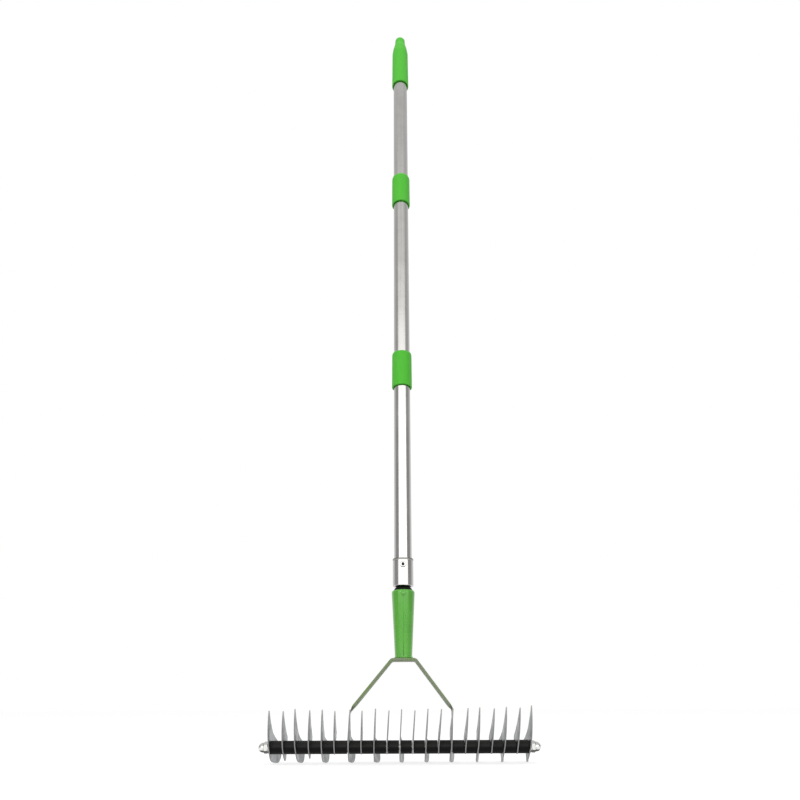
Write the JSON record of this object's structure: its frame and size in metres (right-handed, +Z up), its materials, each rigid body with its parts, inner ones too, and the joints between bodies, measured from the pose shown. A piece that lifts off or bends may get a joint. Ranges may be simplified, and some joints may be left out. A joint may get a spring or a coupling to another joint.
{
  "type": "thatch rake",
  "caption": "Long handled thatch rake: crescent steel blades on an axle, a strap yoke with a tapered socket, and a tubular pole in screwed sections with collars and an end cap.",
  "frame": {"origin": "on the ground under the middle of the blades: centre of the bounding box, at its bottom", "axes": "+X along the axle, +Y from the blades' spikes to their rear lobes, +Z up along the pole"},
  "size_m": [0.3788, 0.0708, 1.3559],
  "materials": {
    "polished_steel": "polished",
    "blade_steel": "satin",
    "nut_chrome": "bright",
    "spacer_black": "matte",
    "socket_green": "gloss",
    "yoke_olive": "satin",
    "grip_green": "satin"
  },
  "bodies": {
    "head_and_lower_section": {"yoke": "yoke_olive", "socket": "socket_green", "socket_rivet": "socket_green", "plug": "spacer_black", "ferrule": "polished_steel", "ferrule_rivet": "polished_steel", "lower_tube": "polished_steel", "lower_coupler": "polished_steel"},
    "blade_pack": {"blade_00": "blade_steel", "blade_01": "blade_steel", "blade_02": "blade_steel", "blade_03": "blade_steel", "blade_04": "blade_steel", "blade_05": "blade_steel", "blade_06": "blade_steel", "blade_07": "blade_steel", "blade_08": "blade_steel", "blade_09": "blade_steel", "blade_10": "blade_steel", "blade_11": "blade_steel", "blade_12": "blade_steel", "blade_13": "blade_steel", "blade_14": "blade_steel", "blade_15": "blade_steel", "blade_16": "blade_steel", "blade_17": "blade_steel", "blade_18": "blade_steel", "blade_19": "blade_steel", "blade_20": "blade_steel", "spacer_01": "spacer_black", "spacer_02": "spacer_black", "spacer_03": "spacer_black", "spacer_04": "spacer_black", "spacer_05": "spacer_black", "spacer_06": "spacer_black", "spacer_07": "spacer_black", "spacer_08": "spacer_black", "spacer_09": "spacer_black", "spacer_10": "spacer_black", "spacer_11": "spacer_black", "spacer_12": "spacer_black", "spacer_13": "spacer_black", "spacer_14": "spacer_black", "spacer_15": "spacer_black", "spacer_16": "spacer_black", "spacer_17": "spacer_black", "spacer_18": "spacer_black", "spacer_19": "spacer_black", "spacer_20": "spacer_black", "axle_rod": "polished_steel", "left_washer": "nut_chrome", "right_washer": "nut_chrome", "left_cap_nut": "nut_chrome", "right_cap_nut": "nut_chrome"},
    "middle_section": {"lower_collar": "grip_green", "middle_tube": "polished_steel", "upper_coupler": "polished_steel"},
    "upper_section": {"upper_collar": "grip_green", "upper_tube": "polished_steel", "end_cap": "grip_green"}
  },
  "joints": [
    {"name": "blade_pack_tilt", "type": "hinge", "parent": "head_and_lower_section", "child": "blade_pack", "pos_m": [0, -0.00695, 0.0208], "axis": [1, 0, 0], "range_deg": [-6, 45]},
    {"name": "middle_section_turn", "type": "hinge", "parent": "head_and_lower_section", "child": "middle_section", "pos_m": [0.006, -0.00695, 0.5547], "axis": [0, 0, 1], "range_deg": [0, 360]},
    {"name": "upper_section_turn", "type": "hinge", "parent": "middle_section", "child": "upper_section", "pos_m": [0.006, -0.00695, 0.9274], "axis": [0, 0, 1], "range_deg": [0, 360]}
  ]
}
